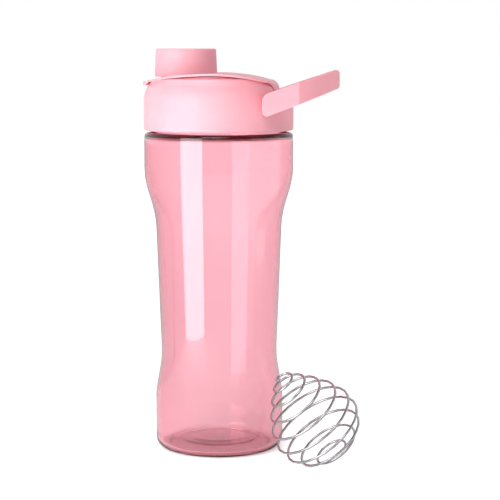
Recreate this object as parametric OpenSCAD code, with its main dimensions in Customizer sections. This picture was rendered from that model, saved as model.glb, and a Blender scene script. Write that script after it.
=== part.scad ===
// Protein shaker bottle with a screw lid, a flip cap, a carry loop and a wire whisk ball.
// The bottle stands on z = 0 with its axis on Z. The carry loop and the flip cap's hinge
// are on the +X side, the spout is on the -X side.

/* [Bottle body] */
// Diameter of the round upper part
body_d = 89.4; // [84:0.2:96]
// Diameter of the round base
base_d = 77; // [74:1:80]
// Height of the shoulder
shoulder_z = 191.2; // [180:0.2:215]
// Thickness of the moulded wall
wall = 2.2; // [1.6:0.1:2.8]
// Thickness of the floor over the foot recess
floor_t = 3.2; // [2:0.2:5]
// Outer radius where the wall meets the table
base_round = 6; // [4:0.5:8]
// Height of the straight band at the foot
foot_band = 30; // [24:1:34]
// Height of the straight band below the shoulder
top_band = 25.2; // [8:0.2:32]
// Outer diameter of the neck without its thread
neck_d = 80.8; // [76:0.2:82]
// Height of the neck above the shoulder
neck_h = 12.8; // [11:0.2:16]
// Depth of the recess under the base
foot_recess = 2.4; // [1:0.2:3.5]
// Width of the ring that the bottle stands on
foot_ring = 3.5; // [2:0.5:6]

/* [Side grips] */
// Distance across the two grips at the waist
waist_w = 69.8; // [66:0.2:74]
// Height of the waist
waist_z = 62; // [56:1:68]
// Height at which the upper bend starts
bend_z = 134; // [124:1:140]
// Lean of the grip between the waist and the upper bend, in degrees
grip_lean = 2.2; // [0:0.2:4]
// Steepest lean of the upper bend, in degrees
upper_lean = 17; // [12:1:22]
// Lean of the lower flare, in degrees
lower_lean = 10; // [6:1:14]
// Radius of the bends, seen from the front
bend_r = 58; // [40:1:70]
// Distance from the bottle's axis to the centre of each grip's flatter curve
grip_centre = 17; // [12:1:26]

/* [Lid] */
// Outer diameter of the lid's skirt
lid_d = 89.4; // [84:0.2:96]
// Gap between the shoulder and the skirt
lid_gap = 1.2; // [0.8:0.2:4]
// Height of the skirt's straight part
skirt_h = 17.2; // [14:0.2:20]
// Height of the rounded shoulder of the lid
lid_round_h = 10.3; // [6:0.1:12]
// How far the rounded shoulder comes in
lid_round_in = 3.4; // [1:0.1:5]
// Height of the upright rim on top
rim_h = 3.5; // [2:0.1:5]
// Diameter of the bore that goes over the neck's thread
skirt_bore_d = 84.8; // [82.8:0.2:86]
// Thickness of the deck
deck_t = 3; // [2:0.2:4]
// Thickness of the sealing ring
gasket_t = 1.8; // [1:0.1:3]

/* [Spout] */
// Distance from the bottle's axis to the spout's axis
spout_x = 19.5; // [14:0.5:21]
// Outer diameter of the spout at its root
spout_root_d = 30; // [26:0.5:31]
// Outer diameter of the spout at its lip
spout_lip_d = 26.8; // [22:0.2:27.4]
// Height of the spout above the deck
spout_h = 14; // [10:0.5:16]
// Wall of the spout
spout_wall = 1.7; // [1.2:0.1:2.4]

/* [Flip cap] */
// Thickness of the arched plate
plate_t = 1.2; // [1:0.1:2]
// Gap between the plate's crown and the deck
plate_gap = 1.6; // [1:0.1:3]
// Diameter of the plate seen from above
plate_d = 85.2; // [80:0.2:86]
// Radius of the plate's arch on the spout side
arch_spout = 200; // [150:5:260]
// Radius of the plate's arch on the hinge side
arch_hinge = 118; // [110:2:160]
// Width of the thumb tab
tab_w = 22; // [14:1:28]
// How far the thumb tab stands out past the plate
tab_out = 1.9; // [1:0.1:5]
// Diameter of the tower at the plate
tower_root_d = 37.4; // [36:0.2:40]
// Diameter of the tower at its top
tower_top_d = 36; // [34.6:0.2:38]
// Wall of the tower
tower_wall = 1.6; // [1.2:0.1:2]
// Thickness of the rubber disc that closes the spout
seal_t = 1.6; // [1:0.1:2.4]

/* [Hinge of the flip cap] */
// Distance from the bottle's axis to the hinge pin
hinge_x = 29.2; // [28:0.1:31]
// Radius of the knuckle round the pin
knuckle_r = 6.2; // [5:0.1:6.4]
// Length of the knuckle
knuckle_l = 46; // [36:1:50]
// Diameter of the hinge pin
pin_d = 3; // [2:0.1:4]

/* [Carry loop] */
// Distance over the two arms
loop_w = 80; // [79.6:0.2:84]
// Thickness of the band
loop_t = 3.2; // [2.4:0.1:3.4]
// Height of the band at the pivots
loop_h = 13.3; // [11:0.1:15]
// Height of the band at the nose
loop_nose_h = 11.4; // [8:0.1:13]
// Distance from the bottle's axis to the nose
loop_reach = 72.2; // [66:0.2:84]
// Radius of the rounded nose, seen from above
loop_nose_r = 46.3; // [43:0.2:50]
// How far the loop is tilted up, in degrees
loop_tilt = 19.8; // [8:0.2:24]
// Distance from the bottle's axis to the loop's pivots
pivot_x = 33.6; // [33:0.1:36]
// Height of the loop's pivots above the lid's lower edge
pivot_h = 17; // [15:0.1:18]
// Diameter of the pegs that the loop turns on
peg_d = 5.6; // [4:0.2:7]

/* [Whisk ball] */
// Largest diameter of the ball
ball_d = 50.2; // [40:0.2:60]
// Length of the ball from end to end
ball_l = 61.3; // [44:0.1:66]
// Diameter of the wire
wire_d = 1.5; // [1.2:0.1:2.2]
// Number of turns
ball_turns = 8.7; // [6:0.1:11]
// Diameter of the end turns
ball_end_d = 8.7; // [8:0.1:20]
// How much fatter the lower end is, as a share
ball_egg = 0.42; // [0:0.02:0.5]
// How pointed the ball's ends are
ball_point = 0.8; // [0.4:0.02:1]
// How much closer the turns are at the ends, as a share
ball_gather = 0.52; // [0:0.02:1]
// Direction in which the wire starts, in degrees
ball_start = 139; // [0:1:360]
// Distance from the bottle's axis to the ball, to the right
ball_x = 55.8; // [54:0.2:90]
// Distance from the bottle's axis to the ball, to the front
ball_y = 48.6; // [36:0.2:70]
// Tilt of the ball's axis from upright, in degrees
ball_tilt = 37.4; // [0:0.2:60]
// Direction towards which the ball's upper end leans, in degrees from +X
ball_lean = 209.4; // [0:0.2:360]

/* [Hidden] */
$fn = 96;

eps = 0.01;
reach = 60;                 // half width of a cut that goes right across the lid
arc_steps = 8;              // straight pieces in a rounded profile
run_gap = 0.05;             // radial clearance of a turning fit
part_gap = 0.3;             // gap between moving pieces that only pass each other

body_r = body_d / 2;
base_r = base_d / 2;
neck_r = neck_d / 2;
rim_z = shoulder_z + neck_h;
floor_z = foot_recess + floor_t;
shoulder_round = 2.2;
inner_round = 1.5;          // under the shoulder
neck_edge = 0.6;
foot_step = 3;              // width of the first ring in the foot recess
foot_inner_step = 9;        // the second ring ends this far in
mark_r = 8;                 // plain triangle under the floor
mark_line = 1.2;
mark_h = 0.5;
taper_top_z = shoulder_z - top_band;
end_lean = 4;               // the grips fade into the round parts at this lean
grip_over = 10;             // the grips' forms run on past the bottle's ends

lid_r = lid_d / 2;
lid_z = shoulder_z + lid_gap;
ceiling_z = rim_z + gasket_t;
lid_round_z = lid_z + skirt_h;
rim_root_z = lid_round_z + lid_round_h;
rim_r = lid_r - lid_round_in;
deck_z = rim_root_z + rim_h;
lid_edge = 0.8;             // chamfer of the skirt's lower edge
rim_draft = 0.5;
rim_edge = 0.6;
skirt_bore_r = skirt_bore_d / 2;
cavity_r = 36;
cavity_z = deck_z - deck_t;
hinge_wall_x = 21.5;        // the hollow under the deck ends here
shelf_t = 2;
shelf_z = ceiling_z + shelf_t;
shelf_x = 36.6;
tab_room_x = -38.5;         // the lid is cut away from here outwards, under the thumb tab
tab_room = 2;               // on each side of the tab
slope_from = -46;            // the lid's top follows the plate between these
slope_to = 34;
slope_step = 4;

crown_x = -1.5;              // where the plate's arch is highest
crown_z = deck_z + plate_gap + plate_t;
plate_r = plate_d / 2;
tab_x = -plate_r - tab_out;
tab_t = 2.6;
tab_tip = 1.2;              // width of the tab's lower edge
tab_root = 3.4;             // how far in the tab meets the plate's underside
tab_round = 4;
spout_top_z = deck_z + spout_h;
seal_gap = 0.1;
tower_top_z = spout_top_z + seal_gap + seal_t + tower_wall;
tower_round = 1;
tower_sink = 0.8;           // the tower's foot stands this far below the plate
seal_plug = 1;              // the disc's plug goes this far into the spout
tower_foot_z = crown_z - plate_t - tower_sink;

hinge_z = crown_z - (hinge_x - crown_x) * (hinge_x - crown_x) / 2 / arch_hinge - knuckle_r;
pin_r = pin_d / 2;
pin_front_y = 29;
pin_back_y = 30.5;
nose_r = knuckle_r - plate_t - part_gap;
sweep_r = knuckle_r + 0.4;
wrap_half = knuckle_l / 2 + 3.4;
wrap_end = 10;              // the plate wraps this many degrees past level
wrap_turn = 3.4;            // the opened wrap's end needs the room this far below the pin

pivot_z = lid_z + pivot_h;
peg_r = peg_d / 2;
boss_t = 1.6;
boss_r = peg_r + boss_t;
boss_y = 30.6;
lug_y = 22;
arm_in = loop_w / 2 - loop_t;
peg_end = 31;
arm_end_x = pivot_x - 5.5;
arm_rounds = [2.6, 1.6, 2.4, 5];

// ---------- helpers ----------

// Points of an arc about c with radius r, from angle a0 to a1
function arc(c, r, a0, a1, n = arc_steps) =
    [for (i = [0 : n]) let (a = a0 + (a1 - a0) * i / n) c + r * [cos(a), sin(a)]];

// Points of a bend that starts at p and turns from lean a0 to lean a1.
// The lean is measured from upright, and dir is 1 going up and -1 going down.
function bend(p, a0, a1, r, dir = 1, n = 6) =
    [for (i = [1 : n])
        let (a = a0 + (a1 - a0) * i / n, k = r * sign(a1 - a0))
        [p[0] + k * (cos(a0) - cos(a)), p[1] + dir * k * (sin(a) - sin(a0))]];

// The point that lies h further along a straight line of lean a
function onward(p, a, h, dir = 1) = [p[0] + h * tan(a), p[1] + dir * h];

function last(list) = list[len(list) - 1];
function backwards(list) = [for (i = [len(list) - 1 : -1 : 0]) list[i]];
function unit(v) = v / norm(v);

// A polygon's corners rounded, each with its own radius
function rounded(pts, radii, n = 5) = [
    for (i = [0 : len(pts) - 1])
        let (
            p = pts[i],
            u = unit(pts[(i + len(pts) - 1) % len(pts)] - p),
            v = unit(pts[(i + 1) % len(pts)] - p),
            half = acos(u * v) / 2,
            r = radii[i],
            c = p + unit(u + v) * r / sin(half),
            s = p + u * r / tan(half) - c,
            e = p + v * r / tan(half) - c,
            a0 = atan2(s[1], s[0]),
            turn = (atan2(e[1], e[0]) - a0 + 540) % 360 - 180
        )
        each arc(c, r, a0, a0 + turn, n)
];

// A profile in X and Z, drawn out along Y between y0 and y1
module along_y(y0, y1) {
    translate([0, y1, 0])
        rotate([90, 0, 0])
            linear_extrude(y1 - y0)
                children();
}

// A round bar along Y at x, z
module bar_y(x, z, r, y0, y1) {
    translate([x, y1, z])
        rotate([90, 0, 0])
            cylinder(r = r, h = y1 - y0);
}

module both_sides() {
    children();
    mirror([0, 1, 0])
        children();
}

// ---------- bottle body ----------

// Half the width of the bottle over its grips, from below the foot to above the shoulder
function grip_side() =
    let (
        waist = [waist_w / 2, waist_z],
        low = bend(waist, -grip_lean, lower_lean, bend_r, -1),
        flare = onward(last(low), lower_lean, straight_h(last(low)[0], base_r, lower_lean), -1),
        foot = bend(flare, lower_lean, end_lean, bend_r, -1),
        high = onward(waist, grip_lean, bend_z - waist_z),
        upper = bend(high, grip_lean, upper_lean, bend_r),
        slope = onward(last(upper), upper_lean, straight_h(last(upper)[0], body_r, upper_lean)),
        top = bend(slope, upper_lean, end_lean, bend_r)
    )
    concat(
        [onward(last(foot), end_lean, last(foot)[1] + grip_over, -1)],
        backwards(foot),
        [flare],
        backwards(low),
        [waist, high],
        upper,
        [slope],
        top,
        [onward(last(top), end_lean, rim_z + grip_over - last(top)[1])]
    );

// Height of the straight slope that leaves room for the last bend to reach radius r
function straight_h(from, r, lean) =
    max(1, (r - from - bend_r * (cos(end_lean) - cos(lean))) / tan(lean));

// One grip's surface: a flatter curve about an axis on the far side of the bottle
module grip_form(inset) {
    side = grip_side();
    translate([-grip_centre, 0, 0])
        rotate_extrude()
            polygon(concat(
                [[0, side[0][1]]],
                [for (p = side) [p[0] + grip_centre - inset, p[1]]],
                [[0, last(side)[1]]]
            ));
}

module body_outside() {
    intersection() {
        rotate_extrude()
            polygon(concat(
                [[0, 0]],
                arc([base_r - base_round, base_round], base_round, -90, 0),
                [[base_r, foot_band], [body_r, taper_top_z]],
                arc([body_r - shoulder_round, shoulder_z - shoulder_round], shoulder_round, 0, 90, 4),
                [[neck_r, shoulder_z], [neck_r, rim_z - neck_edge], [neck_r - neck_edge, rim_z], [0, rim_z]]
            ));
        grip_form(0);
        mirror([1, 0, 0])
            grip_form(0);
    }
}

module body_inside() {
    in_round = base_round - wall;
    intersection() {
        rotate_extrude()
            polygon(concat(
                [[0, floor_z]],
                arc([base_r - base_round, floor_z + in_round], in_round, -90, 0, 6),
                [[base_r - wall, foot_band], [body_r - wall, taper_top_z]],
                arc(
                    [body_r - wall - inner_round, shoulder_z - wall - inner_round],
                    inner_round, 0, 90, 4
                ),
                [[neck_r - wall, shoulder_z - wall], [neck_r - wall, rim_z + 1], [0, rim_z + 1]]
            ));
        grip_form(wall);
        mirror([1, 0, 0])
            grip_form(wall);
    }
}

// The recess under the base, with two stepped rings
module foot_hollow() {
    r = base_r - base_round - foot_ring;
    translate([0, 0, -1])
        cylinder(r = r, h = 1 + foot_recess * 0.4);
    translate([0, 0, -1])
        cylinder(r = r - foot_step, h = 1 + foot_recess * 0.75);
    translate([0, 0, -1])
        cylinder(r = r - foot_inner_step, h = 1 + foot_recess);
}

module bottle_body() {
    color([0.98, 0.7, 0.77, 0.6]) {
        difference() {
            body_outside();
            body_inside();
            foot_hollow();
        }
        // plain raised triangle under the floor
        translate([0, 0, foot_recess - mark_h])
            linear_extrude(mark_h + 0.1)
                difference() {
                    circle(r = mark_r, $fn = 3);
                    circle(r = mark_r - 2 * mark_line, $fn = 3);
                }
    }
}

// ---------- lid ----------

// Height of the plate's arch at x, for a surface that lies d below its top
function arch(x, d) =
    let (r = (x < crown_x ? arch_spout : arch_hinge))
    crown_z - r + sqrt((r - d) * (r - d) - (x - crown_x) * (x - crown_x));

// Everything above the lid's top: the flat deck and the slopes that follow the plate
module above_deck() {
    lift = plate_t + part_gap;
    steps = [for (x = [slope_from : slope_step : slope_to]) [x, min(deck_z, arch(x, lift))]];
    along_y(-reach, reach)
        polygon(concat(steps, [[slope_to, deck_z + reach], [slope_from, deck_z + reach]]));
}

module lid_outside() {
    turn = 2 * atan(lid_round_in / lid_round_h);
    r = lid_round_h / sin(turn);
    rotate_extrude()
        polygon(concat(
            [[0, lid_z], [lid_r - lid_edge, lid_z], [lid_r, lid_z + lid_edge]],
            arc([lid_r - r, lid_round_z], r, 0, turn),
            [
                [rim_r - rim_draft, deck_z - rim_edge],
                [rim_r - rim_draft - rim_edge, deck_z + eps],
                [0, deck_z + eps]
            ]
        ));
}

// What is taken away round the knuckle and where the cap's end turns down
module hinge_space() {
    bar_y(hinge_x, hinge_z, sweep_r, -knuckle_l / 2 - part_gap, knuckle_l / 2 + part_gap);
    difference() {
        union() {
            translate([hinge_x, -reach, hinge_z - sweep_r])
                cube([40, 2 * reach, 40]);
            // the wrap's end turns under the pin here
            intersection() {
                bar_y(hinge_x, hinge_z, sweep_r, -wrap_half, wrap_half);
                translate([hinge_x - reach, -reach, hinge_z - reach])
                    cube([reach + eps, 2 * reach, reach - wrap_turn]);
            }
        }
        bar_y(hinge_x, hinge_z, nose_r, knuckle_l / 2 + part_gap, reach);
        bar_y(hinge_x, hinge_z, nose_r, -reach, -knuckle_l / 2 - part_gap);
    }
}

// The round bosses that carry the loop, on lugs below the hinge's space
module loop_bosses() {
    difference() {
        both_sides()
            bar_y(pivot_x, pivot_z, boss_r, boss_y, arm_in - part_gap);
        both_sides()
            translate([pivot_x - boss_r, lug_y, pivot_z - boss_r])
                cube([2 * boss_r, arm_in - part_gap - lug_y, hinge_z - sweep_r - pivot_z + boss_r]);
        translate([0, 0, lid_z - 1])
            cylinder(r = skirt_bore_r, h = ceiling_z - lid_z + 1);
    }
}

module spout() {
    lip = 0.5;
    translate([-spout_x, 0, 0])
        rotate_extrude()
            polygon([
                [0, cavity_z],
                [spout_root_d / 2, cavity_z],
                [spout_root_d / 2, deck_z],
                [spout_lip_d / 2, spout_top_z - lip],
                [spout_lip_d / 2 - lip, spout_top_z],
                [0, spout_top_z]
            ]);
}

module spout_bore() {
    root_r = spout_root_d / 2 - spout_wall;
    lip_r = spout_lip_d / 2 - spout_wall;
    translate([-spout_x, 0, cavity_z - 1])
        cylinder(r1 = root_r, r2 = root_r, h = 1 + deck_t);
    translate([-spout_x, 0, deck_z - eps])
        cylinder(r1 = root_r, r2 = lip_r, h = spout_h + 2 * eps);
}

module lid() {
    color([0.99, 0.82, 0.85])
        difference() {
            union() {
                difference() {
                    lid_outside();
                    above_deck();
                    hinge_space();
                    // the step behind the hinge, where the loop swings up
                    translate([shelf_x, -reach, shelf_z])
                        cube([20, 2 * reach, 40]);
                    // clearance under the thumb tab
                    translate([-reach, -tab_w / 2 - tab_room, rim_root_z])
                        cube([reach + tab_room_x, tab_w + 2 * tab_room, 20]);
                }
                loop_bosses();
                spout();
            }
            // bore over the neck
            translate([0, 0, lid_z - 1])
                cylinder(r = skirt_bore_r, h = ceiling_z - lid_z + 1);
            // hollow under the deck
            intersection() {
                translate([0, 0, ceiling_z - 1])
                    cylinder(r = cavity_r, h = cavity_z - ceiling_z + 1);
                translate([-reach, -reach, 0])
                    cube([reach + hinge_wall_x, 2 * reach, 400]);
            }
            spout_bore();
            bar_y(hinge_x, hinge_z, pin_r + 0.02, -pin_front_y - 0.2, reach);
            both_sides()
                bar_y(pivot_x, pivot_z, peg_r + run_gap, peg_end - 0.3, reach);
        }
}

module lid_gasket() {
    color([0.93, 0.93, 0.92])
        translate([0, 0, rim_z])
            difference() {
                cylinder(r = skirt_bore_r - 0.2, h = gasket_t);
                translate([0, 0, -1])
                    cylinder(r = neck_r - wall, h = gasket_t + 2);
            }
}

// ---------- flip cap ----------

// The plate seen from the side: two arches that run into the wrap round the hinge
module plate_side() {
    top_end = 90 - asin((hinge_x - crown_x) / arch_hinge);
    over = arc([crown_x, crown_z - arch_hinge], arch_hinge, top_end, 90);
    under = arc([crown_x, crown_z - arch_hinge], arch_hinge - plate_t, top_end, 90);
    spout_end = 90 + asin((crown_x - tab_x) / arch_spout);
    over_left = arc([crown_x, crown_z - arch_spout], arch_spout, 90, spout_end);
    under_left = arc([crown_x, crown_z - arch_spout], arch_spout - plate_t, 90, spout_end);
    polygon(concat(
        arc([hinge_x, hinge_z], knuckle_r, -wrap_end, top_end),
        over,
        over_left,
        backwards(under_left),
        backwards(under),
        backwards(arc([hinge_x, hinge_z], knuckle_r - plate_t, -wrap_end, top_end))
    ));
}

module plate_outline() {
    circle(r = plate_r);
    polygon(rounded(
        [[tab_x, -tab_w / 2], [-20, -tab_w / 2], [-20, tab_w / 2], [tab_x, tab_w / 2]],
        [tab_round, 1, 1, tab_round]
    ));
}

module thumb_tab() {
    tip_z = arch(tab_x, 0);
    along_y(-tab_w / 2, tab_w / 2)
        polygon([
            [tab_x, tip_z - tab_t],
            [tab_x + tab_tip, tip_z - tab_t],
            [tab_x + tab_root, arch(tab_x + tab_root, plate_t) - eps],
            [tab_x + tab_root, arch(tab_x + tab_root, plate_t / 2)],
            [tab_x, arch(tab_x, plate_t / 2)]
        ]);
}

module tower() {
    translate([-spout_x, 0, 0])
        rotate_extrude()
            polygon(concat(
                [[0, tower_foot_z], [tower_root_d / 2, tower_foot_z]],
                arc([tower_top_d / 2 - tower_round, tower_top_z - tower_round], tower_round, 4, 90, 5),
                [[0, tower_top_z]]
            ));
}

module tower_hollow() {
    root_r = tower_root_d / 2 - tower_wall;
    top_r = tower_top_d / 2 - tower_wall;
    translate([-spout_x, 0, deck_z])
        cylinder(r1 = root_r, r2 = top_r, h = tower_top_z - tower_wall - deck_z);
    // through the plate, which slopes down towards the thumb tab
    translate([-spout_x, 0, cavity_z])
        cylinder(r = root_r, h = deck_z - cavity_z + eps);
}

module flip_cap() {
    color([0.99, 0.82, 0.86])
        difference() {
            union() {
                intersection() {
                    union() {
                        along_y(-reach, reach)
                            plate_side();
                        thumb_tab();
                    }
                    translate([0, 0, deck_z - 30])
                        linear_extrude(60)
                            plate_outline();
                }
                bar_y(hinge_x, hinge_z, knuckle_r - 0.1, -knuckle_l / 2, knuckle_l / 2);
                tower();
            }
            tower_hollow();
            bar_y(hinge_x, hinge_z, pin_r + run_gap, -reach, reach);
        }
}

module spout_seal() {
    top_z = tower_top_z - tower_wall;
    plug_r = spout_lip_d / 2 - spout_wall - 1;
    disc_r = tower_top_d / 2 - tower_wall - 0.4;
    color([0.95, 0.9, 0.9])
        translate([-spout_x, 0, 0])
            rotate_extrude()
                polygon([
                    [0, top_z - seal_t - seal_plug],
                    [plug_r - 0.6, top_z - seal_t - seal_plug],
                    [plug_r, top_z - seal_t],
                    [disc_r, top_z - seal_t],
                    [disc_r, top_z],
                    [0, top_z]
                ]);
}

module flip_hinge_pin() {
    color([0.75, 0.76, 0.78])
        bar_y(hinge_x, hinge_z, pin_r, -pin_front_y, pin_back_y);
}

// ---------- carry loop ----------

module loop_plan(half_w, nose_r) {
    centre_x = loop_reach - loop_nose_r;
    end_x = centre_x + sqrt(nose_r * nose_r - half_w * half_w);
    translate([0, -half_w])
        square([end_x, 2 * half_w]);
    intersection() {
        translate([centre_x, 0])
            circle(r = nose_r, $fn = 180);
        translate([end_x - 1, -half_w])
            square([100, 2 * half_w]);
    }
}

module loop_side() {
    run = loop_reach - pivot_x;
    mid_end = pivot_z - (pivot_x - arm_end_x) * tan(loop_tilt);
    mid_nose = pivot_z + run * tan(loop_tilt);
    polygon(rounded(
        [
            [arm_end_x, mid_end - loop_h / 2],
            [loop_reach, mid_nose - loop_nose_h / 2],
            [loop_reach, mid_nose + loop_nose_h / 2],
            [arm_end_x, mid_end + loop_h / 2]
        ],
        arm_rounds
    ));
}

module carry_loop() {
    color([0.98, 0.8, 0.84]) {
        intersection() {
            difference() {
                translate([0, 0, pivot_z - 40])
                    linear_extrude(80)
                        loop_plan(loop_w / 2, loop_nose_r);
                translate([0, 0, pivot_z - 41])
                    linear_extrude(82)
                        translate([-1, 0])
                            loop_plan(arm_in, loop_nose_r - loop_t + 1);
            }
            along_y(-reach, reach)
                loop_side();
        }
        both_sides()
            bar_y(pivot_x, pivot_z, peg_r, peg_end, arm_in + 1);
    }
}

// ---------- whisk ball ----------

wire_sides = 8;
ball_steps = round(24 * ball_turns);

// Centre line of the wire, for s from 0 at the lower end to 1 at the upper end
function ball_line(s) =
    let (
        u = (1 - ball_gather) * (2 * s - 1) - ball_gather * cos(180 * s),
        half = (ball_l - wire_d) / 2,
        end_r = ball_end_d / 2,
        fat = (ball_d - wire_d) / 2,
        r = (end_r + (fat - end_r) * pow(max(0, 1 - u * u), ball_point)) * (1 - ball_egg * u),
        a = ball_start + 360 * ball_turns * s
    )
    [r * cos(a), r * sin(a), half * u];

function ball_ring(i) =
    let (
        h = 0.2 / ball_steps,
        s = i / ball_steps,
        p = ball_line(s),
        t = unit(ball_line(min(1, s + h)) - ball_line(max(0, s - h))),
        n = unit(cross(t, unit(cross(p, t)))),
        b = cross(t, n)
    )
    [for (k = [0 : wire_sides - 1]) let (a = 360 * k / wire_sides) p + wire_d / 2 * (n * cos(a) + b * sin(a))];

module wire_spiral() {
    n = wire_sides;
    polyhedron(
        points = [for (i = [0 : ball_steps]) each ball_ring(i)],
        faces = concat(
            [[for (k = [0 : n - 1]) k]],
            [for (i = [0 : ball_steps - 1], k = [0 : n - 1])
                let (a = i * n + k, b = i * n + (k + 1) % n)
                [a, a + n, b + n, b]],
            [[for (k = [n - 1 : -1 : 0]) ball_steps * n + k]]
        )
    );
}

module whisk_ball() {
    lowest = ball_low();
    color([0.8, 0.81, 0.82])
        translate([ball_x, -ball_y, lowest])
            rotate([0, ball_tilt, ball_lean])
                wire_spiral();
}

// How high the ball's centre is when its lowest turn touches the table
function ball_low() =
    wire_d / 2 + max([for (i = [0 : ball_steps])
        let (p = ball_line(i / ball_steps)) p[0] * sin(ball_tilt) - p[2] * cos(ball_tilt)]);

bottle_body();
lid();
lid_gasket();
flip_cap();
spout_seal();
flip_hinge_pin();
carry_loop();
whisk_ball();
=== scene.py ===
"""Looks for the shaker bottle: materials, threads, small moulded details, studio and camera."""

import math

import bpy
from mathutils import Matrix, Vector


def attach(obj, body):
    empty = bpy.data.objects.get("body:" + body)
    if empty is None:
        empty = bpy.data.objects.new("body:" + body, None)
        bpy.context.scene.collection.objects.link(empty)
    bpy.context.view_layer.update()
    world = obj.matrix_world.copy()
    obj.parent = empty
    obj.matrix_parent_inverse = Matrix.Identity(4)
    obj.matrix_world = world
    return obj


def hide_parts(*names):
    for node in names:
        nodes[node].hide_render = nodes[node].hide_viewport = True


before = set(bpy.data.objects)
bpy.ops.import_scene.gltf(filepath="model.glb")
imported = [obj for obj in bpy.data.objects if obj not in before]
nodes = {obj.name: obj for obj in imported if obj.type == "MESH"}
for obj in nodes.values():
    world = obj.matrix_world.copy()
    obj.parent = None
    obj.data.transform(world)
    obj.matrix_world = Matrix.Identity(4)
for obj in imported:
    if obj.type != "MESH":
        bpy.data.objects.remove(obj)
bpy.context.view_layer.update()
MM = 0.001

# sizes shared with the CAD solids, in millimetres
NECK_R = 40.4
SKIRT_BORE_R = 42.4
THREAD_LEAD = 8
THREAD_STARTS = 2
WALL = 2.2
GRIP_CENTRE = 17  # each grip curves about an axis this far on the other side
CROWN_X = -1.5  # top of the cap's arched plate
CROWN_Z = 226.2
ARCH_SPOUT_R = 200  # the plate's arch towards the spout
ARCH_HINGE_R = 118  # and towards the hinge
PLATE_T = 1.2

# studio, in metres and degrees
PAPER_GLOW_NEAR = 0.48  # what the eye sees added to the paper, round the foot and far off
PAPER_GLOW_FAR = 0.87
CAMERA_TURN = math.radians(3.5)
AIM_Z = 0.14


# ---------- node helpers ----------


def linear(hex_colour):
    """An sRGB hex colour such as "f8c8d2" as linear RGBA."""
    parts = [int(hex_colour[i : i + 2], 16) / 255 for i in (0, 2, 4)]
    curve = [c / 12.92 if c <= 0.04045 else ((c + 0.055) / 1.055) ** 2.4 for c in parts]
    return (*curve, 1.0)


def add_node(tree, kind, inputs=None, **settings):
    """Adds a node. Each input is a value, or the output socket that feeds it."""
    node = tree.nodes.new(kind)
    for name, value in settings.items():
        setattr(node, name, value)
    for name, value in (inputs or {}).items():
        if isinstance(value, bpy.types.NodeSocket):
            tree.links.new(value, node.inputs[name])
        else:
            node.inputs[name].default_value = value
    return node


def new_material(name):
    """An empty node material and its tree."""
    material = bpy.data.materials.new(name)
    material.use_nodes = True
    material.node_tree.nodes.clear()
    return material, material.node_tree


def finish_with(tree, surface, volume=None):
    """Joins the surface, and the volume if there is one, to the material's output."""
    output = add_node(tree, "ShaderNodeOutputMaterial", {"Surface": surface})
    if volume:
        tree.links.new(volume, output.inputs["Volume"])


def noise(tree, size_mm, detail=2.0, roughness=0.5):
    """Soft noise whose lumps are about size_mm across."""
    place = add_node(tree, "ShaderNodeTexCoord")
    return add_node(
        tree,
        "ShaderNodeTexNoise",
        {
            "Vector": place.outputs["Object"],
            "Scale": 1 / (size_mm * MM),
            "Detail": detail,
            "Roughness": roughness,
        },
    )


def between(tree, source, low, high, start=0.3, end=0.7):
    """Maps the middle of a noise to the range from low to high."""
    return add_node(
        tree,
        "ShaderNodeMapRange",
        {"Value": source, "From Min": start, "From Max": end, "To Min": low, "To Max": high},
    ).outputs["Result"]


def mixed(tree, factor, one, two):
    """A colour between two, by a factor from 0 to 1."""
    mix = add_node(tree, "ShaderNodeMix", data_type="RGBA")
    tree.links.new(factor, mix.inputs[0])
    mix.inputs[6].default_value = one
    mix.inputs[7].default_value = two
    return mix.outputs[2]


# ---------- materials ----------


def clear_pink_copolyester():
    """Blown copolyester, tinted through: glossy, clear, redder where the wall is seen edge on."""
    material, tree = new_material("clear_pink_copolyester")
    waves = noise(tree, 26, 1.0)  # slow waves that blowing leaves in the wall
    scuffs = noise(tree, 1.4, 4.0)
    bump = add_node(
        tree, "ShaderNodeBump", {"Strength": 0.12, "Distance": 0.35 * MM, "Height": waves.outputs["Fac"]}
    )
    skin = add_node(
        tree,
        "ShaderNodeBsdfPrincipled",
        {
            "Base Color": linear("fff2f5"),
            "Roughness": between(tree, scuffs.outputs["Fac"], 0.02, 0.06),
            "IOR": 1.52,
            "Transmission Weight": 1.0,
            "Normal": bump.outputs["Normal"],
        },
    )
    tint = add_node(tree, "ShaderNodeVolumeAbsorption", {"Color": linear("e794a9"), "Density": 240.0})
    finish_with(tree, skin.outputs["BSDF"], tint.outputs["Volume"])
    return material


def pale_pink_polypropylene():
    """Moulded polypropylene with a fine spark-eroded grain: satin, and light sinks in a little."""
    material, tree = new_material("pale_pink_polypropylene")
    flow = noise(tree, 18, 2.0)  # faint cloudiness from the pigment
    grain = noise(tree, 0.5, 3.0, 0.6)  # 0.1 mm grain, drawn coarser so that it shows
    colour = mixed(tree, between(tree, flow.outputs["Fac"], 0, 1), linear("fba7b3"), linear("fcaeb9"))
    bump = add_node(
        tree, "ShaderNodeBump", {"Strength": 0.25, "Distance": 0.03 * MM, "Height": grain.outputs["Fac"]}
    )
    skin = add_node(
        tree,
        "ShaderNodeBsdfPrincipled",
        {
            "Base Color": colour,
            "Roughness": between(tree, grain.outputs["Fac"], 0.53, 0.63),
            "IOR": 1.49,
            "Specular IOR Level": 0.75,
            "Subsurface Weight": 0.4,
            "Subsurface Radius": (1.0, 0.2, 0.24),
            "Subsurface Scale": 8 * MM,
            "Normal": bump.outputs["Normal"],
        },
    )
    finish_with(tree, skin.outputs["BSDF"])
    return material


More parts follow.
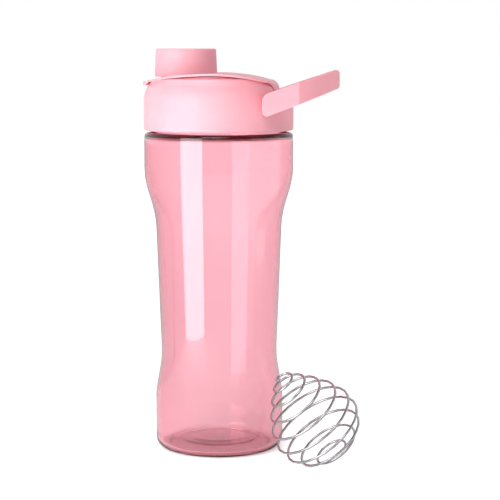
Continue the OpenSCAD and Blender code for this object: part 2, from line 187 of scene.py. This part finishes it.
def white_silicone():
    """Compression-moulded silicone: soft white, dull, a little dusty."""
    material, tree = new_material("white_silicone")
    dust = noise(tree, 0.7, 4.0)
    colour = mixed(tree, between(tree, dust.outputs["Fac"], 0, 1), linear("ece8e6"), linear("f4f1ef"))
    skin = add_node(
        tree,
        "ShaderNodeBsdfPrincipled",
        {
            "Base Color": colour,
            "Roughness": between(tree, dust.outputs["Fac"], 0.55, 0.7),
            "IOR": 1.41,
            "Subsurface Weight": 0.2,
            "Subsurface Scale": 1.5 * MM,
        },
    )
    finish_with(tree, skin.outputs["BSDF"])
    return material


def drawn_stainless_wire():
    """Polished stainless wire: bright, with faint marks of the drawing die."""
    material, tree = new_material("drawn_stainless_wire")
    marks = noise(tree, 0.35, 3.0)
    bump = add_node(
        tree, "ShaderNodeBump", {"Strength": 0.15, "Distance": 0.01 * MM, "Height": marks.outputs["Fac"]}
    )
    skin = add_node(
        tree,
        "ShaderNodeBsdfPrincipled",
        {
            "Base Color": linear("b4b5b8"),
            "Metallic": 1.0,
            "Roughness": between(tree, marks.outputs["Fac"], 0.12, 0.22),
            "Normal": bump.outputs["Normal"],
        },
    )
    finish_with(tree, skin.outputs["BSDF"])
    return material


RING_PITCH = 1.645  # the tool's marks are finer, and drawn this coarse so that they show


def turned_steel_pin():
    """Cut steel pin: ringed by the tool, duller than the wire."""
    material, tree = new_material("turned_steel_pin")
    place = add_node(tree, "ShaderNodeTexCoord")
    rings = add_node(
        tree,
        "ShaderNodeTexWave",
        {
            "Vector": place.outputs["Object"],
            "Scale": 2 * math.pi / (20 * RING_PITCH * MM),
            "Distortion": 0.6,
        },
        bands_direction="Y",
    )
    bump = add_node(
        tree, "ShaderNodeBump", {"Strength": 0.2, "Distance": 0.01 * MM, "Height": rings.outputs["Fac"]}
    )
    skin = add_node(
        tree,
        "ShaderNodeBsdfPrincipled",
        {
            "Base Color": linear("bcbdc0"),
            "Metallic": 1.0,
            "Roughness": between(tree, rings.outputs["Fac"], 0.25, 0.38),
            "Normal": bump.outputs["Normal"],
        },
    )
    finish_with(tree, skin.outputs["BSDF"])
    return material


def seen_by_eye(tree):
    """1 for what is seen directly or through the bottle, 0 for what only lights or is reflected."""
    ray = add_node(tree, "ShaderNodeLightPath")
    unscattered = add_node(
        tree, "ShaderNodeMath", {0: ray.outputs["Diffuse Depth"], 1: 0.5}, operation="LESS_THAN"
    )
    through = add_node(
        tree,
        "ShaderNodeMath",
        {0: ray.outputs["Is Transmission Ray"], 1: unscattered.outputs[0]},
        operation="MULTIPLY",
    )
    seen = add_node(
        tree,
        "ShaderNodeMath",
        {0: ray.outputs["Is Camera Ray"], 1: through.outputs[0]},
        operation="MAXIMUM",
    )
    return seen.outputs[0]


def studio_paper():
    """Matt white paper. The eye also sees it glow, more so far off, so that it reads as white."""
    material, tree = new_material("studio_paper")
    fibres = noise(tree, 3, 4.0)
    colour = mixed(tree, between(tree, fibres.outputs["Fac"], 0, 1), linear("f4f4f4"), linear("f7f7f7"))
    paper = add_node(tree, "ShaderNodeBsdfDiffuse", {"Color": colour})
    place = add_node(tree, "ShaderNodeTexCoord")
    away = add_node(tree, "ShaderNodeVectorMath", {0: place.outputs["Object"]}, operation="LENGTH")
    level = add_node(
        tree,
        "ShaderNodeMapRange",
        {
            "Value": away.outputs["Value"],
            "From Min": 0.12,
            "From Max": 1.3,
            "To Min": PAPER_GLOW_NEAR,
            "To Max": PAPER_GLOW_FAR,
        },
    )
    lift = add_node(
        tree, "ShaderNodeMath", {0: seen_by_eye(tree), 1: level.outputs[0]}, operation="MULTIPLY"
    )
    glow = add_node(tree, "ShaderNodeEmission", {"Strength": lift.outputs[0]})
    both = add_node(tree, "ShaderNodeAddShader", {0: paper.outputs[0], 1: glow.outputs[0]})
    finish_with(tree, both.outputs[0])
    return material


# ---------- modelling helpers ----------


def start_clean():
    """Leaves edit mode and selects nothing."""
    if bpy.context.object and bpy.context.object.mode != "OBJECT":
        bpy.ops.object.mode_set(mode="OBJECT")
    bpy.ops.object.select_all(action="DESELECT")


def only(piece):
    """Selects one piece alone and makes it active."""
    start_clean()
    piece.select_set(True)
    bpy.context.view_layer.objects.active = piece


def paint(piece, material):
    """Gives the piece this one material."""
    piece.data.materials.clear()
    piece.data.materials.append(material)


def settle(piece, body, material, crease=40):
    """Applies the modifiers and the place, smooths, paints and hands the piece to its body."""
    only(piece)
    for modifier in list(piece.modifiers):
        bpy.ops.object.modifier_apply(modifier=modifier.name)
    bpy.ops.object.transform_apply(location=True, rotation=True, scale=True)
    bpy.ops.object.shade_smooth_by_angle(angle=math.radians(crease))
    paint(piece, material)
    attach(piece, body)


def smooth_copy(node, name, crease):
    """A merged copy of a CAD node, smooth over its shallow bands and sharp at its creases."""
    start_clean()
    piece = nodes[node].copy()
    piece.data = nodes[node].data.copy()
    piece.name = piece.data.name = name
    piece.parent = None
    for key in list(piece.keys()):
        if key.startswith("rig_"):
            del piece[key]
    bpy.context.scene.collection.objects.link(piece)
    edit_all(piece)
    bpy.ops.mesh.customdata_custom_splitnormals_clear()
    bpy.ops.mesh.remove_doubles(threshold=0.002 * MM)
    bpy.ops.object.mode_set(mode="OBJECT")
    bpy.ops.object.shade_smooth_by_angle(angle=math.radians(crease))
    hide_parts(node)
    return piece


def edit_all(piece):
    """Opens the piece in edit mode with all of it selected."""
    only(piece)
    bpy.ops.object.mode_set(mode="EDIT")
    bpy.ops.mesh.select_all(action="SELECT")


def close_outwards():
    """Points the faces of the open piece outwards and closes it."""
    bpy.ops.mesh.normals_make_consistent(inside=False)
    bpy.ops.object.mode_set(mode="OBJECT")


# ---------- bottle ----------

CREASE_SOFT = 0.25  # how far the grips' creases are rounded, in millimetres
BOTTLE_STEPS = 180
MERGE = 0.001 * MM
BASE_TOP = 7  # the grips press only between these heights
SHOULDER_LOW = 188.5
BASE_REACH = 20  # the base inside this radius stays as it is
# half the width over the grips, by height
GRIP_SIDE = (
    (-10, 41.45), (32.2, 38.5), (35.2, 38.21), (38.2, 37.76), (49.7, 35.74), (53.8, 35.17), (57.9, 34.89),
    (62, 34.9), (134, 37.67), (139, 38.07), (143.9, 38.9), (148.7, 40.16), (155.8, 42.31), (160, 43.43),
    (164.3, 44.23), (168.7, 44.7), (214, 47.87),
)


def grip_reach(height, angle, inset):
    """How far out the nearer grip's surface lies at this height and angle."""
    for (low, start), (high, end) in zip(GRIP_SIDE, GRIP_SIDE[1:]):
        if height <= high:
            break
    side = start + (end - start) * (height - low) / (high - low) + GRIP_CENTRE - inset
    return math.sqrt(side**2 - (GRIP_CENTRE * math.sin(angle)) ** 2) - GRIP_CENTRE * abs(math.cos(angle))


def softer_of(one, two, soft):
    """The smaller of two, rounded where they meet."""
    share = min(1, max(0, 0.5 + 0.5 * (two - one) / soft))
    return two + (one - two) * share - soft * share * (1 - share)


def arc_points(centre, radius, start, end, steps):
    """Points on an arc, both ends among them, with angles in degrees."""
    turns = [math.radians(start + (end - start) * i / steps) for i in range(steps + 1)]
    return [(centre[0] + radius * math.cos(a), centre[1] + radius * math.sin(a)) for a in turns]


def straight_points(start, end, steps):
    """Points on a straight line, its end left out."""
    return [tuple(a + (b - a) * i / steps for a, b in zip(start, end)) for i in range(steps)]


def bottle_section():
    """Half a section: under the base, up the outside, over the rim and down the inside."""
    outside = [(0, 3.8), (15, 3.8), (22, 3.2), (28.2, 1.9), (29.6, 0.6), (30.6, 0)]
    outside += arc_points((32.5, 6), 6, -90, 0, 8)
    outside += straight_points((38.5, 8), (38.5, 30), 6) + straight_points((38.5, 30), (44.7, 166), 56)
    outside += straight_points((44.7, 166), (44.7, 188), 6) + arc_points((42.5, 189), 2.2, 0, 90, 5)
    outside += [(41.2, 191.2), (40.7, 191.5), (40.4, 192.2), (40.4, 203.4), (39.8, 204)]
    inside = [(38.8, 204), (38.2, 203.4), (38.2, 190.2), (38.7, 189.4), (39.4, 189.1)]
    inside += arc_points((40.9, 187.5), 1.6, 90, 0, 4)
    inside += straight_points((42.5, 186), (42.5, 166), 6) + straight_points((42.5, 166), (36.3, 30), 56)
    inside += straight_points((36.3, 30), (36.3, 8), 6) + arc_points((32.5, 6.4), 3.8, 0, -90, 6)
    inside += [(30.4, 2.8), (29, 3.9), (22, 5.6), (15, 6.4), (0, 6.4)]
    return outside, inside


def moulded_bottle():
    """The section turned about the axis, with the two grips pressed in where they meet it softly."""
    outside, inside = bottle_section()
    section = outside + inside
    start_clean()
    bpy.ops.mesh.primitive_circle_add(vertices=len(section), radius=WALL * MM)
    shell = bpy.context.object
    shell.name = shell.data.name = "bottle_shell"
    for vertex, (out, up) in zip(shell.data.vertices, section):
        vertex.co = Vector((out * MM, 0, up * MM))
    inner = shell.data.attributes.new("inner", "FLOAT", "POINT")
    for index, mark in enumerate(inner.data):
        mark.value = float(index >= len(outside))
    screw = shell.modifiers.new("turn", "SCREW")
    screw.steps = screw.render_steps = BOTTLE_STEPS
    screw.use_merge_vertices = True
    only(shell)
    bpy.ops.object.modifier_apply(modifier="turn")
    inner = [mark.value for mark in shell.data.attributes["inner"].data]
    for vertex, is_inner in zip(shell.data.vertices, inner):
        across = math.hypot(vertex.co.x, vertex.co.y)
        height = vertex.co.z / MM
        if across < BASE_REACH * MM or height < BASE_TOP or height > SHOULDER_LOW:
            continue
        angle = math.atan2(vertex.co.y, vertex.co.x)
        reach = grip_reach(height, angle, WALL if is_inner > 0.5 else 0)
        pressed = softer_of(across / MM, reach, CREASE_SOFT) * MM
        vertex.co.x *= pressed / across
        vertex.co.y *= pressed / across
    edit_all(shell)
    bpy.ops.mesh.remove_doubles(threshold=MERGE)
    bpy.ops.mesh.dissolve_degenerate(threshold=MERGE)
    close_outwards()
    shell.data.attributes.remove(shell.data.attributes["inner"])
    return shell


# ---------- cap seat ----------

SEAT_R = 38.4
SEAT_WALL = 1.4
SEAT_GAP = 0.6  # between the seat and the closed cap's plate
SEAT_FOOT = 221.5  # it is rooted this high, inside the deck
SEAT_FROM_X = -26
SEAT_TO_X = 18


def arch_height(x, depth):
    """Height of a surface that lies this deep under the top of the cap's arched plate."""
    radius = ARCH_SPOUT_R if x < CROWN_X else ARCH_HINGE_R
    return CROWN_Z - radius + math.sqrt((radius - depth) ** 2 - (x - CROWN_X) ** 2)


def cap_seat():
    """The low rib on the deck, behind the rim, that the closed cap's plate comes down to."""
    start_clean()
    middle = 224 * MM
    bpy.ops.mesh.primitive_cylinder_add(
        vertices=144, radius=SEAT_R * MM, depth=4 * MM, end_fill_type="NOTHING", location=(0, 0, middle)
    )
    seat = bpy.context.object
    seat.name = seat.data.name = "cap_seat"
    bpy.ops.object.transform_apply(location=True)
    for vertex in seat.data.vertices:
        top = arch_height(vertex.co.x / MM, PLATE_T + SEAT_GAP)
        vertex.co.z = (top if vertex.co.z > middle else SEAT_FOOT) * MM
    bpy.ops.object.mode_set(mode="EDIT")
    for x, outer in ((SEAT_TO_X, True), (SEAT_FROM_X, False)):
        bpy.ops.mesh.select_all(action="SELECT")
        bpy.ops.mesh.bisect(
            plane_co=(x * MM, 0, 0), plane_no=(1, 0, 0), clear_outer=outer, clear_inner=not outer
        )
    bpy.ops.object.mode_set(mode="OBJECT")
    wall = seat.modifiers.new("wall", "SOLIDIFY")
    wall.thickness = SEAT_WALL * MM
    wall.offset = -1
    only(seat)
    bpy.ops.object.modifier_apply(modifier="wall")
    edit_all(seat)
    close_outwards()
    settle(seat, "screw_lid", lid_plastic)


# ---------- threads ----------

RIDGE_H = 1.5
RIDGE_ROOT = 0.3  # how far the ridge is sunk into its wall
RIDGE_TOP = 0.3  # half the height of the ridge's crest
RIDGE_STEPS = 96  # in one turn


def thread(name, root_r, crest_r, low, high, body, material, turn_deg=0):
    """A thread: a small four-sided section screwed up around the axis, once for each start."""
    turns = (high - low - RIDGE_H) / THREAD_LEAD
    out = abs(crest_r - root_r)
    sign = 1 if crest_r > root_r else -1
    half = RIDGE_H / 2
    corners = [(-RIDGE_ROOT, half), (-RIDGE_ROOT, -half), (out, -RIDGE_TOP), (out, RIDGE_TOP)]
    for start in range(THREAD_STARTS):
        start_clean()
        bpy.ops.mesh.primitive_circle_add(vertices=len(corners), radius=half * MM, fill_type="NGON")
        ridge = bpy.context.object
        ridge.name = ridge.data.name = f"{name}_{start + 1}"
        for vertex, (along, up) in zip(ridge.data.vertices, corners):
            vertex.co = Vector(((root_r + sign * along) * MM, 0, (low + half + up) * MM))
        screw = ridge.modifiers.new("wind", "SCREW")
        screw.angle = math.radians(360 * turns)
        screw.screw_offset = THREAD_LEAD * turns * MM
        screw.steps = screw.render_steps = round(turns * RIDGE_STEPS)
        screw.use_normal_calculate = True
        screw.use_merge_vertices = True
        only(ridge)
        bpy.ops.object.modifier_apply(modifier="wind")
        edit_all(ridge)
        bpy.ops.transform.rotate(
            value=-math.radians(turn_deg + 360 / THREAD_STARTS * start),
            orient_axis="Z",
            center_override=(0, 0, 0),
        )
        close_outwards()
        settle(ridge, body, material)


# ---------- the object ----------

bottle_plastic = clear_pink_copolyester()
lid_plastic = pale_pink_polypropylene()
silicone = white_silicone()
wire_steel = drawn_stainless_wire()
pin_steel = turned_steel_pin()

kept_as_built = {"lid_gasket": silicone, "spout_seal": silicone, "flip_hinge_pin": pin_steel}
for node, material in kept_as_built.items():
    paint(nodes[node], material)

lid = smooth_copy("lid", "screw_lid", 28)
cap = smooth_copy("flip_cap", "hinged_cap", 28)
loop = smooth_copy("carry_loop", "carry_handle", 28)
ball = smooth_copy("whisk_ball", "wire_ball", 60)
for piece, body, material, slot in (
    (lid, "screw_lid", lid_plastic, "pale_pink"),
    (cap, "cap", lid_plastic, "pale_pink"),
    (loop, "loop", lid_plastic, "pale_pink"),
    (ball, "ball", wire_steel, "steel_wire"),
):
    paint(piece, material)
    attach(piece, body)

bottle = moulded_bottle()
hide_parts("bottle_body")
settle(bottle, "bottle", bottle_plastic, 60)

cap_seat()
neck_crest_r, lid_crest_r = 41.8, 41.1
lid_thread_turn = 110  # degrees around the axis from the neck's starts to the lid's
thread("neck_thread", NECK_R, neck_crest_r, 193.2, 202.6, "bottle", bottle_plastic)
thread(
    "lid_thread",
    SKIRT_BORE_R,
    lid_crest_r,
    194.0,
    205.0,
    "screw_lid",
    lid_plastic,
    lid_thread_turn,
)


# ---------- studio ----------


def studio_floor():
    """A sheet of paper just under the foot."""
    start_clean()
    bpy.ops.mesh.primitive_plane_add(size=6, location=(0, 1.0, -0.0002))
    floor = bpy.context.object
    floor.name = "studio_floor"
    bpy.ops.object.transform_apply(location=True)
    paint(floor, studio_paper())


def soft_box(name, azimuth, distance, width, height, centre_z, radiance):
    """A softbox that faces the bottle, at degrees to the right of the camera, or left when negative."""
    turn = math.radians(azimuth) + CAMERA_TURN
    place = Vector((math.sin(turn) * distance, -math.cos(turn) * distance, centre_z))
    data = bpy.data.lights.new(name, "AREA")
    data.shape = "RECTANGLE"
    data.size = width
    data.size_y = height
    data.energy = radiance * math.pi * width * height
    lamp = bpy.data.objects.new(name, data)
    bpy.context.scene.collection.objects.link(lamp)
    lamp.location = place
    aim = Vector((0, 0, AIM_Z)) - place
    lamp.rotation_euler = aim.to_track_quat("-Z", "Y").to_euler()


def studio_world():
    """White for what the eye sees. As light it is bright behind and on the left, dim in front."""
    world = bpy.data.worlds.new("studio")
    bpy.context.scene.world = world
    world.use_nodes = True
    tree = world.node_tree
    tree.nodes.clear()
    place = add_node(tree, "ShaderNodeTexCoord")
    parts = add_node(tree, "ShaderNodeSeparateXYZ", {"Vector": place.outputs["Generated"]})
    behind = add_node(
        tree,
        "ShaderNodeMapRange",
        {"Value": parts.outputs["Y"], "From Min": -0.3, "From Max": 0.7, "To Min": 0.0, "To Max": 0.7},
        interpolation_type="SMOOTHSTEP",
    )
    left = add_node(
        tree,
        "ShaderNodeMapRange",
        {"Value": parts.outputs["X"], "From Min": -0.9, "From Max": 0.5, "To Min": 0.45, "To Max": 0.14},
        interpolation_type="SMOOTHSTEP",
    )
    both = add_node(tree, "ShaderNodeMath", {0: behind.outputs[0], 1: left.outputs[0]}, operation="ADD")
    strength = add_node(
        tree, "ShaderNodeMix", {0: seen_by_eye(tree), 2: both.outputs[0], 3: 1.0}, data_type="FLOAT"
    )
    glow = add_node(
        tree, "ShaderNodeBackground", {"Color": (1, 1, 1, 1), "Strength": strength.outputs[0]}
    )
    add_node(tree, "ShaderNodeOutputWorld", {"Surface": glow.outputs[0]})


def studio_camera():
    """A long lens a little above the bottle's middle, looking slightly down."""
    data = bpy.data.cameras.new("camera")
    data.lens = 118.08
    data.sensor_width = 36
    data.clip_start = 0.05
    camera = bpy.data.objects.new("camera", data)
    bpy.context.scene.collection.objects.link(camera)
    camera.location = (0.07874, -0.98110, 0.23895)
    camera.rotation_euler = (math.radians(83.1), 0, CAMERA_TURN)
    bpy.context.scene.camera = camera


studio_floor()
studio_world()
studio_camera()
soft_box("key_box", -39, 0.3, 0.175, 0.3, 0.15, 5.4)
soft_box("top_box", -5, 0.7, 0.6, 0.5, 0.9, 4.2)
soft_box("side_box", 78, 0.6, 0.7, 0.4, 0.2, 0.9)

bpy.context.scene.view_settings.view_transform = "Standard"
